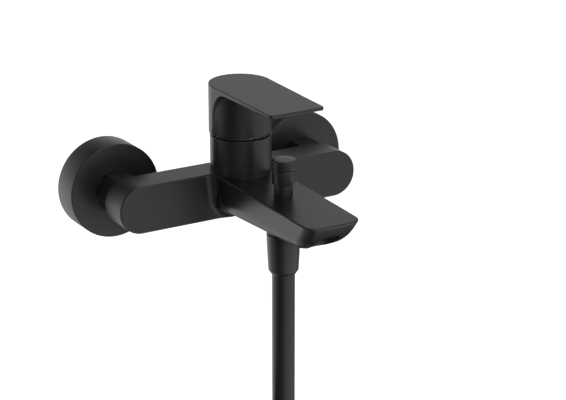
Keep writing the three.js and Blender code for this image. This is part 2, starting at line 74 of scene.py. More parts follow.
HANDLE = {
    "bottom": 42.95, "radius": 21.3, "rear_radius": 22.0, "front": -142.4, "half_front": 20.8, "corner": 2.6,
    "top": 78.15, "top_slope": 0.0158, "under": 74.95, "under_slope": 0.006, "edge": 0.5, "fillet": 3.5,
    "wall_end": 0.5, "arch": 18.0, "foot_height": 1.5, "foot_inset": 0.8, "foot_slope": 0.28, "wall_taper": 0.2,
}
# The lever's hollow underside, its square socket and the hole for its grub screw.
LEVER_CAVITY = {"radius": 18.2, "foot": 30.0, "top": 62.0}
LEVER_SOCKET = {"half_width": 4.4, "front": -4.7, "rear": 4.9, "foot": 55.0, "top": 70.0}
LEVER_SCREW = {"radius": 2.8, "front": -64.0, "rear": -40.0, "z": 66.0}
LEVER_PLUG = {"radius": 4.2, "front": -48.8, "rear": -30.0}
PIVOT = {"y": -60.6, "z": 46.0, "lift": math.radians(18), "gap": 0.35}

INLET_X = 75.0
BRANCH_RISE = 9.0
UNION_NUT = {
    "flats": 26.7, "front": -41.9, "rear": -22.6, "middle": -32.25, "half_length": 9.65,
    "bevel_radius": 14.5, "bevel_slope": 1.7, "bore": 10.7, "bore_front": -34.0, "neck": 8.4,
}
WALL_UNION = {
    "tail": 10.3, "nose": 10.4, "thread_depth": 0.9, "pitch": 1.8, "bore": 7.0,
    "collar": 13.4, "collar_front": -9.6, "collar_rear": -4.6,
}

DIVERTER_Y = -124.0
SEAT = {"radius": 11.4, "foot": -12.7, "top": 0.0, "edge": 0.4, "fillet": 1.0}

# Holes in the casting: (radius, foot) up through the tower, and (radius, foot, top) under the diverter.
TOWER_BORES = ((17.8, 7), (18.7, 33), (19.6, 41))
DIVERTER_BORES = ((9.3, -25, -6.7), (8.5, -7, 5.5), (5.5, 5, 7.2), (7, 7, 10.5), (6, 10, 25))
INLET_BORE = {"radius": 8.3, "front": -50.3, "rear": -30.0}

HOSE_RADIUS = 7.85
COIL = {"radius": 94.0, "z": -246.0, "turns": 2, "pitch": 16.5, "points": 48}
STRAP = {"clearance": 1.6, "half_thickness": 0.7, "half_width": 5.0}
CREASE = math.radians(32)


# ---------------------------------------------------------------- camera, light and floor
# Metres, and millimetres of lens and sensor.
CAMERA = {
    "place": (-0.6556, -1.2234, 0.4572), "looks": (0.48336, 0.811, -0.3296), "lens": 128.66, "sensor": 36.0,
}


def make_camera():
    data = bpy.data.cameras.new("camera")
    data.sensor_width = CAMERA["sensor"]
    data.lens = CAMERA["lens"]
    camera = bpy.data.objects.new("camera", data)
    camera.location = CAMERA["place"]
    camera.rotation_mode = "QUATERNION"
    camera.rotation_quaternion = Vector(CAMERA["looks"]).to_track_quat("-Z", "Y")
    bpy.context.scene.collection.objects.link(camera)
    bpy.context.scene.camera = camera


def link(tree, a, b):
    tree.links.new(a, b)


# Soft lights far round the object: degrees round from +X, degrees up, and strength.
SOFT_LIGHTS = [
    (52, 66, 1.79), (20, 53, 0.2), (-65, 49, 0.72), (73, 47, 0.02), (-97, 39, 0.76), (40, 37, 0.39),
    (-45, 34, 0.46), (145, 28, 0.18), (-77, 26, 1.9), (60, 25, 0.39), (113, 20, 0.4), (-110, 19, 1.25),
    (165, 16, 0.32), (-57, 14, 0.96), (-142, 12, 0.24), (133, 9, 0.26), (-90, 8, 0.65), (48, 6, 0.49),
    (-37, 3, 0.47), (100, 2, 0.53), (-122, 1, 0.18), (15, -1, 0.17), (153, -2, 0.84), (-70, -3, 0.38),
    (68, -5, 0.75), (-17, -8, 0.45), (120, -9, 1.3), (35, -12, 0.11), (173, -13, 0.14),
    (-50, -14, 0.28), (88, -16, 0.75), (-135, -17, 0.07), (3, -19, 0.24), (140, -20, 0.54),
    (-82, -22, 0.35), (-30, -26, 0.42), (108, -28, 0.74), (-114, -29, 0.31), (160, -32, 0.4),
    (-62, -34, 0.79), (76, -36, 0.06), (-10, -39, 0.91), (128, -41, 0.22), (-94, -43, 1.38),
    (-179, -47, 0.43), (-42, -49, 1.69), (96, -51, 0.71), (-127, -53, 0.13), (148, -58, 0.37),
    (-74, -60, 0.02), (-159, -66, 0.06),
]
SOFTNESS = 40.0  # a higher power makes each light narrower
ROOM_GLOW = 0.01
FLOOR = {"size": 30, "drop": 0.012}  # metres


def make_world():
    """A dim room with wide soft lights in it; the camera itself sees plain white."""
    world = bpy.data.worlds.new("studio")
    bpy.context.scene.world = world
    world.use_nodes = True
    tree = world.node_tree
    tree.nodes.clear()
    place = tree.nodes.new("ShaderNodeTexCoord")
    total = ROOM_GLOW
    for azimuth, elevation, strength in SOFT_LIGHTS:
        turn, rise = math.radians(azimuth), math.radians(elevation)
        facing = tree.nodes.new("ShaderNodeVectorMath")
        facing.operation = "DOT_PRODUCT"
        facing.inputs[1].default_value = (
            math.cos(rise) * math.cos(turn), math.cos(rise) * math.sin(turn), math.sin(rise),
        )
        link(tree, place.outputs["Generated"], facing.inputs[0])
        near = math_node(tree, "MULTIPLY_ADD", facing.outputs["Value"], 0.5, 0.5)
        lobe = math_node(tree, "POWER", near, SOFTNESS)
        total = math_node(tree, "MULTIPLY_ADD", lobe, strength, total)
    light = tree.nodes.new("ShaderNodeBackground")
    link(tree, total, light.inputs["Strength"])
    seen = tree.nodes.new("ShaderNodeBackground")
    seen.inputs["Color"].default_value = (1, 1, 1, 1)
    rays = tree.nodes.new("ShaderNodeLightPath")
    mix = tree.nodes.new("ShaderNodeMixShader")
    out = tree.nodes.new("ShaderNodeOutputWorld")
    link(tree, rays.outputs["Is Camera Ray"], mix.inputs["Fac"])
    link(tree, light.outputs[0], mix.inputs[1])
    link(tree, seen.outputs[0], mix.inputs[2])
    link(tree, mix.outputs[0], out.inputs["Surface"])


def math_node(tree, operation, *values):
    node = tree.nodes.new("ShaderNodeMath")
    node.operation = operation
    for socket, value in zip(node.inputs, values):
        if isinstance(value, (int, float)):
            socket.default_value = value
        else:
            link(tree, value, socket)
    return node.outputs[0]


def make_floor():
    bpy.ops.mesh.primitive_plane_add(size=FLOOR["size"], location=(0, 0, cad_low.z - FLOOR["drop"]))
    floor = bpy.context.object
    floor.name = "floor"
    paint = bpy.data.materials.new("pale_floor")
    paint.use_nodes = True
    shader = paint.node_tree.nodes["Principled BSDF"]
    shader.inputs["Base Color"].default_value = (0.8, 0.8, 0.8, 1)
    shader.inputs["Roughness"].default_value = 0.9
    shader.inputs["Emission Color"].default_value = (1, 1, 1, 1)
    shader.inputs["Emission Strength"].default_value = 0.8
    floor.data.materials.append(paint)
    floor.visible_glossy = False
    floor.visible_diffuse = False


# ---------------------------------------------------------------- materials
def node_with(tree, kind, **values):
    """A shader node with constant values on its inputs."""
    node = tree.nodes.new(kind)
    for name, value in values.items():
        node.inputs[name.replace("_", " ")].default_value = value
    return node


def finish_of(name, colour, roughness, swing=0.04, grain=900, lift=0.00002, metallic=0.0,
              stretch=(1, 1, 1), mottle=0.08):
    """A surface whose colour, roughness and relief vary a little, as a moulded or coated one does."""
    material = bpy.data.materials.new(name)
    material.use_nodes = True
    tree = material.node_tree
    shader = tree.nodes["Principled BSDF"]
    shader.inputs["Metallic"].default_value = metallic
    place = tree.nodes.new("ShaderNodeTexCoord")
    mapping = node_with(tree, "ShaderNodeMapping", Scale=stretch)
    link(tree, place.outputs["Object"], mapping.inputs["Vector"])
    cloud = node_with(tree, "ShaderNodeTexNoise", Scale=22, Detail=3)
    fine = node_with(tree, "ShaderNodeTexNoise", Scale=grain, Detail=2)
    link(tree, place.outputs["Object"], cloud.inputs["Vector"])
    link(tree, mapping.outputs["Vector"], fine.inputs["Vector"])
    tint = tree.nodes.new("ShaderNodeMix")
    tint.data_type = "RGBA"
    tint.inputs["A"].default_value = (*[c * (1 - mottle) for c in colour], 1)
    tint.inputs["B"].default_value = (*[c * (1 + mottle) for c in colour], 1)
    link(tree, cloud.outputs["Fac"], tint.inputs["Factor"])
    link(tree, tint.outputs["Result"], shader.inputs["Base Color"])
    rough = node_with(tree, "ShaderNodeMapRange", From_Min=0.3, From_Max=0.7)
    rough.inputs["To Min"].default_value = roughness - swing
    rough.inputs["To Max"].default_value = roughness + swing
    link(tree, fine.outputs["Fac"], rough.inputs["Value"])
    link(tree, rough.outputs["Result"], shader.inputs["Roughness"])
    relief = node_with(tree, "ShaderNodeBump", Strength=1.0, Distance=lift)
    link(tree, fine.outputs["Fac"], relief.inputs["Height"])
    link(tree, relief.outputs["Normal"], shader.inputs["Normal"])
    return material


def make_finishes():
    return {
        "matt_black": finish_of("matt_black", (0.013, 0.0132, 0.0138), 0.34),
        "hose_black": finish_of("hose_black", (0.011, 0.011, 0.0115), 0.34, grain=600),
        "brass": finish_of("brass", (0.62, 0.45, 0.19), 0.3, 0.08, 260, 0.00004, 1.0, (1, 12, 12)),
        "steel": finish_of("steel", (0.58, 0.59, 0.6), 0.28, 0.08, 260, 0.00003, 1.0, (1, 12, 12)),
        "rubber": finish_of("rubber", (0.012, 0.012, 0.012), 0.78, 0.05, 700, 0.00005),
        "ceramic": finish_of("ceramic", (0.76, 0.73, 0.68), 0.14, 0.03, 500, 0.000005),
        "grey_plastic": finish_of("grey_plastic", (0.13, 0.135, 0.14), 0.45, 0.05, 800),
        "pale_plastic": finish_of("pale_plastic", (0.66, 0.67, 0.68), 0.4, 0.05, 800),
    }


# ---------------------------------------------------------------- mesh helpers
def add_piece(name, vertices, faces, finish, body, replaced, normals=None):
    """A mesh in millimetres becomes a piece of the object in metres."""
    mesh = bpy.data.meshes.new(name)
    mesh.from_pydata((np.asarray(vertices, float) * MM).tolist(), [], [list(map(int, f)) for f in faces])
    mesh.validate()
    mesh.shade_smooth()
    if normals is None:
        work = bmesh.new()
        work.from_mesh(mesh)
        bmesh.ops.recalc_face_normals(work, faces=work.faces)
        work.to_mesh(mesh)
        work.free()
        mesh.set_sharp_from_angle(angle=CREASE)
    else:
        mesh.normals_split_custom_set_from_vertices(normals.tolist())
    piece = bpy.data.objects.new(name, mesh)
    bpy.context.scene.collection.objects.link(piece)
    piece.data.materials.append(FINISHES[finish])
    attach(piece, body)
    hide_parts(*replaced)
    return piece


def rounded(profile, closed, steps=5):
    """Corners given as (radius, height, fillet) become arcs."""
    points = []
    count = len(profile)
    for i, corner in enumerate(profile):
        here = np.array(corner[:2], float)
        fillet = corner[2] if len(corner) > 2 else 0.0
        ends = not closed and i in (0, count - 1)
        if fillet <= 0 or ends:
            points.append(here)
            continue
        back = np.array(profile[i - 1][:2], float) - here
        ahead = np.array(profile[(i + 1) % count][:2], float) - here
        back /= np.linalg.norm(back)
        ahead /= np.linalg.norm(ahead)
        half = math.acos(np.clip(back @ ahead, -1, 1)) / 2
        reach = fillet / math.tan(half)
        bisector = (back + ahead) / np.linalg.norm(back + ahead)
        centre = here + bisector * fillet / math.sin(half)
        first = here + back * reach - centre
        last = here + ahead * reach - centre
        sweep = math.pi - 2 * half
        for k in range(steps + 1):
            t = k / steps
            a = math.sin((1 - t) * sweep) / math.sin(sweep)
            b = math.sin(t * sweep) / math.sin(sweep)
            points.append(centre + a * first + b * last)
    return np.array(points)


def turned(profile, closed=True, segments=96):
    """Vertices and faces of a profile turned about the Z axis."""
    points = rounded(profile, closed)
    angles = np.arange(segments) * 2 * math.pi / segments
    vertices = [(r * math.cos(a), r * math.sin(a), z) for r, z in points for a in angles]
    rows = len(points)
    faces = []
    for i in range(rows if closed else rows - 1):
        for k in range(segments):
            j, n = (i + 1) % rows, (k + 1) % segments
            faces.append((i * segments + k, i * segments + n, j * segments + n, j * segments + k))
    vertices = np.array(vertices)
    if not closed:
        vertices, faces = close_on_axis(vertices, faces, rows, segments)
    return vertices, faces


def close_on_axis(vertices, faces, rows, segments):
    """A profile that starts and ends on the axis has one vertex at each pole."""
    keep = np.arange(len(vertices))
    keep[:segments] = 0
    keep[(rows - 1) * segments:] = (rows - 1) * segments
    merged = []
    for face in faces:
        ring = [int(keep[v]) for v in face]
        ring = [v for i, v in enumerate(ring) if v != ring[i - 1]]
        if len(ring) > 2:
            merged.append(ring)
    used = sorted({v for face in merged for v in face})
    number = {v: i for i, v in enumerate(used)}
    return vertices[used], [[number[v] for v in face] for face in merged]


def upright(y, z=0.0):
    """Heights of a profile run up an axis in the plane x = 0."""
    return Matrix.Translation((0, y, z))


def from_wall(x):
    """Heights of a profile run out from the wall."""
    return Matrix.Translation((x, 0, 0)) @ Matrix.Rotation(math.radians(90), 4, "X")


def at_outlet():
    """Heights of a profile run into the spout from the outlet's mouth."""
    turn = Matrix.Rotation(-OUTLET["tilt"], 4, "X")
    return Matrix.Translation((0, OUTLET["y"], OUTLET["z"])) @ turn


def placed(vertices, matrix):
    rows = np.array(matrix)
    return np.asarray(vertices) @ rows[:3, :3].T + rows[:3, 3]


def lathe(node, profile, finish, matrix, body="faucet", closed=True, segments=96):
    """A turned piece that takes the place of the CAD node."""
    vertices, faces = turned(profile, closed, segments)
    return add_piece(node + "_fine", placed(vertices, matrix), faces, finish, body, [node])


# ---------------------------------------------------------------- solids from distances
def both(a, b, radius=0.0):
    """Distance to what two solids share, its convex edge rounded."""
    if np.ndim(radius) == 0 and radius == 0:
        return np.maximum(a, b)
    over = np.hypot(np.maximum(a + radius, 0), np.maximum(b + radius, 0))
    return np.minimum(np.maximum(a, b) + radius, 0) + over - radius


def either(a, b, radius=0.0):
    """Distance to two solids joined, with a fillet in the corner between them."""
    if radius == 0:
        return np.minimum(a, b)
    under = np.hypot(np.maximum(radius - a, 0), np.maximum(radius - b, 0))
    return np.maximum(np.minimum(a, b), radius) - under


def without(a, b, radius=0.0):
    """Distance to the first solid with the second cut out of it."""
    return both(a, -b, radius)


def smooth(value):
    """From 0 to 1 with level ends."""
    value = np.clip(value, 0, 1)
    return value * value * (3 - 2 * value)


def between(value, low, high):
    """Distance to a slab."""
    return np.abs(value - (low + high) / 2) - (high - low) / 2


def post(x, y, z, radius, low, high, cy=0.0, edge=0.0):
    """An upright round bar."""
    return both(np.hypot(x, y - cy) - radius, between(z, low, high), edge)


def bore(x, y, z, radius, front, rear, cx=0.0, cz=0.0):
    """A round bar along Y."""
    return both(np.hypot(x - cx, z - cz) - radius, between(y, front, rear))


def surface_cells(value, axes):
    """One vertex in each grid cell that the surface crosses, and the cells' numbers."""
    inside = value < 0
    corners = [(i, j, k) for i in (0, 1) for j in (0, 1) for k in (0, 1)]
    shape = tuple(n - 1 for n in value.shape)
    count = np.zeros(shape, np.int8)
    for i, j, k in corners:
        count += inside[i:i + shape[0], j:j + shape[1], k:k + shape[2]]
    cells = np.argwhere((count > 0) & (count < 8))
    number = np.full(shape, -1, np.int64)
    number[tuple(cells.T)] = np.arange(len(cells))
    total = np.zeros((len(cells), 3))
    crossings = np.zeros(len(cells))
    for a in corners:
        for axis in range(3):
            if a[axis]:
                continue
            b = list(a)
            b[axis] = 1
            near = value[tuple((cells + a).T)]
            far = value[tuple((cells + b).T)]
            cut = (near < 0) != (far < 0)
            share = np.where(cut, near / np.where(cut, near - far, 1), 0)
            start = np.stack([axes[n][cells[:, n] + a[n]] for n in range(3)], 1)
            end = np.stack([axes[n][cells[:, n] + b[n]] for n in range(3)], 1)
            total += np.where(cut[:, None], start + share[:, None] * (end - start), 0)
            crossings += cut
    return total / crossings[:, None], number, inside


def surface_faces(number, inside):
    """A quad for each grid edge that the surface crosses, wound to face outwards."""
    faces = []
    for axis in range(3):
        one, two = [n for n in range(3) if n != axis]
        low = [slice(None)] * 3
        high = [slice(None)] * 3
        low[axis] = slice(0, -1)
        high[axis] = slice(1, None)
        change = inside[tuple(low)] != inside[tuple(high)]
        at = np.argwhere(change)
        keep = (at[:, one] > 0) & (at[:, two] > 0)
        keep &= (at[:, one] < number.shape[one]) & (at[:, two] < number.shape[two])
        at = at[keep]
        ring = []
        for back_one, back_two in ((0, 0), (1, 0), (1, 1), (0, 1)):
            cell = at.copy()
            cell[:, one] -= back_one
            cell[:, two] -= back_two
            ring.append(number[tuple(cell.T)])
        quads = np.stack(ring, 1)
        flip = inside[tuple(at.T)] == (axis == 1)
        quads[flip] = quads[flip][:, ::-1]
        faces.append(quads)
    return np.concatenate(faces)


def slope_of(distance, points):
    """Gradient of the distance at the points."""
    reach = 0.02
    slope = np.zeros_like(points)
    for axis in range(3):
        step = np.zeros(3)
        step[axis] = reach
        slope[:, axis] = distance(*(points + step).T) - distance(*(points - step).T)
    return slope / (2 * reach)


SLAB = 24  # grid layers worked on at a time
SETTLING_ROUNDS = 5  # steps that bring each vertex onto the surface


def skin(distance, low, high, step):
    """Vertices, faces and normals of the surface where the distance is nought."""
    axes = [np.arange(a - 1.5 * step, b + 2.5 * step, step) for a, b in zip(low, high)]
    value = np.empty([len(a) for a in axes], np.float32)
    for first in range(0, len(axes[0]), SLAB):
        x, y, z = np.meshgrid(axes[0][first:first + SLAB], axes[1], axes[2], indexing="ij")
        value[first:first + SLAB] = distance(x, y, z)
    points, number, inside = surface_cells(value, axes)
    faces = surface_faces(number, inside)
    for _ in range(SETTLING_ROUNDS):
        slope = slope_of(distance, points)
        size = np.maximum((slope * slope).sum(1), 0.05)
        move = slope * (distance(*points.T) / size)[:, None]
        length = np.linalg.norm(move, axis=1, keepdims=True)
        points -= move * np.minimum(1, 0.6 * step / np.maximum(length, 1e-9))
    normals = slope_of(distance, points)
    normals /= np.maximum(np.linalg.norm(normals, axis=1, keepdims=True), 1e-9)
    return points, faces, normals


# ---------------------------------------------------------------- body casting
def outlet_axes(y, z):
    """Distance behind the outlet's axis, and height above the outlet plane."""
    c, s = math.cos(OUTLET["tilt"]), math.sin(OUTLET["tilt"])
    dy, dz = y - OUTLET["y"], z - OUTLET["z"]
    return c * dy - s * dz, s * dy + c * dz


def spout_sides(x, y, z):
    """The spout without its flat top: leaning sides, round keel and a front that leans back."""
    out = BAR["front"] - y
    share = np.clip(out / (BAR["front"] - SPOUT["tip"]), 0, 1)
    half = SPOUT["half_root"] + (SPOUT["half_tip"] - SPOUT["half_root"]) * share
    side = (np.abs(x) - half + (spout_top(y) - z) * SPOUT["draft"]) / math.hypot(1, SPOUT["draft"])
    keel = SPOUT["bottom_root"] + SPOUT["bottom_rise"] * out - z
    section = both(side, keel, SPOUT["bottom_radius"])
    depth = SPOUT["top_tip"] - z
    setback = SPOUT["lean"] * depth + SPOUT["curl"] * depth * np.abs(depth) + SPOUT["bow"] * x**2
    slope = SPOUT["lean"] + 2 * SPOUT["curl"] * np.maximum(depth, 0)
    front = (SPOUT["tip"] - SPOUT["advance"] + setback - y) / np.hypot(1, slope)
    return both(both(section, front, SPOUT["corner"]), y - SPOUT["rear"])


def spout_top(y):
    """Height of the spout's flat top, which falls a little towards the tip."""
    slope = (SPOUT["top_root"] - SPOUT["top_tip"]) / (BAR["front"] - SPOUT["tip"])
    return SPOUT["top_root"] - slope * (BAR["front"] - y)


def body_distance(x, y, z):
    outline = np.hypot(np.maximum(np.abs(x) - BAR["arc_x"], 0), z - BAR["z"]) - BAR["radius"]
    bar = both(outline, between(y, BAR["front"], BAR["rear"]), BAR["edge"])
    root = either(spout_sides(x, y, z), bar, SPOUT["root_fillet"])
    near_tip = smooth((SPOUT["tip"] + SPOUT["tip_edge_from"] - y) / SPOUT["tip_edge_run"])
    edge = SPOUT["edge"] + (SPOUT["tip_edge"] - SPOUT["edge"]) * near_tip
    spout = both(both(root, outline), z - spout_top(y), edge)
    seat = post(x, y, z, SEAT["radius"], SEAT["foot"], SEAT["top"], cy=DIVERTER_Y, edge=SEAT["edge"])
    tower = post(x, y, z, TOWER["radius"], TOWER["foot"], TOWER["top"], cy=TOWER["y"], edge=TOWER["edge"])
    whole = either(either(bar, either(spout, seat, SEAT["fillet"])), tower)
    return hollowed_body(whole, x, y, z)


def hollowed_body(whole, x, y, z):
    """The casting with its bores for the cartridge, the diverter, the inlets and the jet."""
    above = 60
    for radius, low in TOWER_BORES:
        whole = without(whole, post(x, y, z, radius, low, above, cy=TOWER["y"]), 0.3)
    for radius, low, high in DIVERTER_BORES:
        whole = without(whole, post(x, y, z, radius, low, high, cy=DIVERTER_Y))
    for side in (-INLET_X, INLET_X):
        inlet = bore(x, y, z, INLET_BORE["radius"], INLET_BORE["front"], INLET_BORE["rear"], cx=side)
        whole = without(whole, inlet, 0.3)
    behind, height = outlet_axes(y, z)
    wide = both(np.hypot(x, behind) - OUTLET["mouth"], height - OUTLET["mouth_depth"])
    narrow = both(np.hypot(x, behind) - OUTLET["radius"], height - OUTLET["depth"])
    return without(without(whole, wide, 0.5), narrow, 0.2)


def make_body():
    low = (-BAR["arc_x"] - BAR["radius"], SPOUT["tip"] - 1, BAR["z"] - BAR["radius"])
    high = (BAR["arc_x"] + BAR["radius"], BAR["rear"], TOWER["top"])
    vertices, faces, normals = skin(body_distance, low, high, BODY_STEP)
    add_piece("body_casting", vertices, faces, "matt_black", "faucet", ["body"], normals)


# ---------------------------------------------------------------- lever
def handle_plan(x, y):
    """Half circle at the wall side, straight sides that close in, square front."""
    out = np.clip((TOWER["y"] - y) / (TOWER["y"] - HANDLE["front"]), 0, 1)
    half = HANDLE["rear_radius"] + (HANDLE["half_front"] - HANDLE["rear_radius"]) * out
    sides = both(np.abs(x) - half, HANDLE["front"] - y, HANDLE["corner"])
    rear = np.hypot(x, np.maximum(y - TOWER["y"], 0)) - HANDLE["rear_radius"]
    return both(sides, rear)


def column_distance(radius, z):
    """The lever's round column on a narrower foot ring that leans inwards."""
    foot = HANDLE["bottom"] + HANDLE["foot_height"]
    column = both(radius - HANDLE["radius"], foot - z, 0.25)
    ring = radius - HANDLE["radius"] + HANDLE["foot_inset"] - (foot - z) * HANDLE["foot_slope"]
    return either(column, both(both(ring, z - foot - 1), HANDLE["bottom"] - z, 0.2))


def handle_distance(x, y, z):
    """The plate and, behind the column, a wall that follows the plate's outline down from it."""
    along = y - TOWER["y"]
    plan = handle_plan(x, y)
    top = z - (HANDLE["top"] + HANDLE["top_slope"] * along)
    under = HANDLE["under"] + HANDLE["under_slope"] * along - z
    foot = HANDLE["bottom"] + HANDLE["foot_height"]
    profile = either(under, HANDLE["wall_end"] - along, HANDLE["arch"])
    shell = both(plan, profile, 0.4 + 2.4 * smooth((along + 15) / 15))
    shell = both(shell, plan + 0.9 - (z - foot) * HANDLE["wall_taper"], 0.5)
    shell = both(shell, foot - z, 0.3)
    form = either(shell, column_distance(np.hypot(x, along), z), HANDLE["fillet"])
    form = both(both(form, plan), top, HANDLE["edge"])
    return hollowed_handle(form, x, y, z)


def hollowed_handle(form, x, y, z):
    """The lever with its cavity, socket and screw hole, and cut back behind so that it can lift."""
    along = y - TOWER["y"]
    cavity = post(x, along, z, LEVER_CAVITY["radius"], LEVER_CAVITY["foot"], LEVER_CAVITY["top"])
    form = without(form, cavity, 0.5)
    deep = between(along, LEVER_SOCKET["front"], LEVER_SOCKET["rear"])
    socket = both(np.abs(x) - LEVER_SOCKET["half_width"], deep)
    form = without(form, both(socket, between(z, LEVER_SOCKET["foot"], LEVER_SOCKET["top"])))
    room = TOWER["top"] + PIVOT["gap"] - PIVOT["z"]
    swing = (z - PIVOT["z"]) * math.cos(PIVOT["lift"]) - room - (y - PIVOT["y"]) * math.sin(PIVOT["lift"])
    form = both(form, -swing, 0.3)
    screw = bore(x, y, z, LEVER_SCREW["radius"], LEVER_SCREW["front"], LEVER_SCREW["rear"], cz=LEVER_SCREW["z"])
    plug = bore(x, y, z, LEVER_PLUG["radius"], LEVER_PLUG["front"], LEVER_PLUG["rear"], cz=LEVER_SCREW["z"])
    return without(without(form, screw), plug, 0.3)


def make_handle():
    low = (-HANDLE["rear_radius"], HANDLE["front"], HANDLE["bottom"])
    high = (HANDLE["rear_radius"], TOWER["y"] + HANDLE["rear_radius"], HANDLE["top"] + 0.4)
    vertices, faces, normals = skin(handle_distance, low, high, HANDLE_STEP)
    add_piece("lever_handle", vertices, faces, "matt_black", "lever", ["handle"], normals)


# ---------------------------------------------------------------- inlets
def thread(radius, along, angle):
    """Radius of the union's screw thread at a place along it and an angle round it."""
    turn = (along / WALL_UNION["pitch"] - angle / (2 * math.pi)) % 1.0
    return radius - WALL_UNION["thread_depth"] * np.abs(2 * turn - 1)


def nut_distance(x, y, z):
    """A hexagon with bevelled ends, wide inside at the wall and narrow in front."""
    half = UNION_NUT["flats"] / 2
    hexagon = np.maximum(np.abs(z), np.abs(x) * math.cos(math.pi / 6) + np.abs(z) / 2) - half
    nut = both(hexagon, between(y, UNION_NUT["front"], UNION_NUT["rear"]), 0.5)
    ends = np.abs(y - UNION_NUT["middle"]) - UNION_NUT["half_length"]
    cone = (np.hypot(x, z) - UNION_NUT["bevel_radius"] + (ends + 0.2) * UNION_NUT["bevel_slope"]) / 2
    nut = both(nut, cone, 0.3)
    nut = without(nut, bore(x, y, z, UNION_NUT["bore"], UNION_NUT["bore_front"], -10), 0.3)
    return without(nut, bore(x, y, z, UNION_NUT["neck"], -60, -30), 0.3)


def union_distance(x, y, z):
    """A threaded tail into the wall, a collar, and a threaded nose on the inlet's own axis."""
    rise = z - BRANCH_RISE
    tail = np.hypot(x, rise) - thread(WALL_UNION["tail"], y, np.arctan2(rise, x))
    tail = both(tail, between(y, -8, 16), 0.4)
    nose = np.hypot(x, z) - thread(WALL_UNION["nose"], y, np.arctan2(z, x))
    nose = both(nose, between(y, -27, -6), 0.4)
    slab = between(y, WALL_UNION["collar_front"], WALL_UNION["collar_rear"])
    collar = both(np.hypot(x, z - BRANCH_RISE / 2) - WALL_UNION["collar"], slab, 0.6)
    whole = either(either(tail, collar), nose)
    whole = without(whole, both(np.hypot(x, rise) - WALL_UNION["bore"], between(y, -7, 30)), 0.4)
    return without(whole, both(np.hypot(x, z) - WALL_UNION["bore"], between(y, -40, -6.5)), 0.4)


def make_inlets():
    nut = skin(nut_distance, (-15.6, -41.9, -13.4), (15.6, -22.6, 13.4), 0.55)
    union = skin(union_distance, (-13.5, -27, -10.5), (13.5, 16, 19.5), 0.42)
    escutcheon = [
        (32.1, 0, 0.2), (33.7, 0, 0.3), (33.7, 22.2, 0.7), (12.2, 22.2, 0.4),
        (12.2, 20.6, 0.2), (32.1, 20.6, 0.8),
    ]
    for side, x in (("left", -INLET_X), ("right", INLET_X)):
        for node, made, finish in (("union_nut", nut, "matt_black"), ("wall_union", union, "brass")):
            vertices, faces, normals = made
            name = f"{node}_{side}"
            add_piece(name + "_fine", vertices + [x, 0, 0], faces, finish, "faucet", [name], normals)
        lathe(f"escutcheon_{side}", escutcheon, "matt_black", from_wall(x), segments=160)
        seal = [(10.8, 20.7, 0.2), (10.8, 22.2, 0.2), (11.9, 22.2, 0.2), (11.9, 20.7, 0.2)]
        lathe(f"escutcheon_seal_{side}", seal, "rubber", from_wall(x))


# ---------------------------------------------------------------- diverter
def make_diverter():
    at = upright(DIVERTER_Y)
    bush = [
        (2.1, 11.4), (3.3, 11.4), (3.3, 9.6), (5.7, 9.6), (5.7, 14.3), (6.4, 14.3), (6.4, 22, 0.4),
        (5.2, 22, 0.3), (5.2, 30.7, 0.2), (2.1, 30.7),
    ]
    sleeve = [(5.5, 22.3), (7.7, 22.3, 0.3), (7.7, 32.3, 0.4), (2.1, 32.3), (2.1, 31.2), (5.5, 31.2)]
    cap = [
        (0, 36.3), (2.1, 36.3), (2.1, 32.6), (8.2, 32.6, 0.3), (8.2, 34.7, 0.08), (8.05, 34.85, 0.08),
        (8.2, 35, 0.08), (8.2, 36.1, 0.08), (8.05, 36.25, 0.08), (8.2, 36.4, 0.08), (8.2, 38.8, 0.3),
        (6, 39.05, 10), (0, 39.2),
    ]
    rod = [(0, -9.6), (3.4, -9.6, 0.3), (3.4, -8.2, 0.2), (1.8, -7.6), (1.8, 36), (0, 36)]
    lathe("diverter_bush", bush, "matt_black", at)
    lathe("diverter_sleeve", sleeve, "matt_black", at, "diverter")
    lathe("diverter_cap", cap, "matt_black", at, "diverter", closed=False)
    lathe("diverter_rod", rod, "steel", at, "diverter", closed=False, segments=48)


# ---------------------------------------------------------------- outlet
def insert_distance(x, y, z):
    """A disc with rings of small jet holes."""
    disc = both(np.hypot(x, y) - 7.9, between(z, 5.4, 9.6), 0.4)
    for ring_radius, count in ((0, 1), (2.8, 6), (5.6, 12)):
        for k in range(count):
            angle = 2 * math.pi * k / count
            cx, cy = ring_radius * math.cos(angle), ring_radius * math.sin(angle)
            disc = without(disc, np.hypot(x - cx, y - cy) - 0.75, 0.2)
    return disc


def make_outlet():
    housing = [(8.2, 4.8, 0.4), (9.7, 4.8, 0.3), (9.7, 11.3, 0.2), (7, 11.3), (7, 9.9), (8.2, 9.9)]
    lathe("jet_housing", housing, "matt_black", at_outlet())
    vertices, faces, normals = skin(insert_distance, (-7.9, -7.9, 5.4), (7.9, 7.9, 9.6), 0.3)
    turn = np.array(at_outlet())[:3, :3]
    vertices = placed(vertices, at_outlet())
    add_piece("jet_insert_fine", vertices, faces, "grey_plastic", "faucet", ["jet_insert"], normals @ turn.T)


# ---------------------------------------------------------------- cartridge
def make_cartridge():
    at = upright(TOWER["y"])
    housing = [
        (14.6, 12.6), (17.5, 12.6), (17.5, 33.1), (14.2, 33.1), (14.2, 40.5, 0.4),
        (10.7, 40.5, 0.3), (10.7, 30), (14.6, 30),
    ]
    retainer = [
        (14.6, 33.4), (18.2, 33.4), (18.2, 39), (16.8, 39.8, 0.3), (16.8, 40.9, 0.3), (14.6, 40.9, 0.3),
    ]
    seam = [(18.7, 41.3, 0.2), (19.4, 41.3, 0.2), (19.4, 42.5, 0.2), (18.7, 42.5, 0.2)]
    lathe("cartridge_housing", housing, "pale_plastic", at)
    lathe("retaining_nut", retainer, "brass", at)
    lathe("seam_ring", seam, "rubber", at)


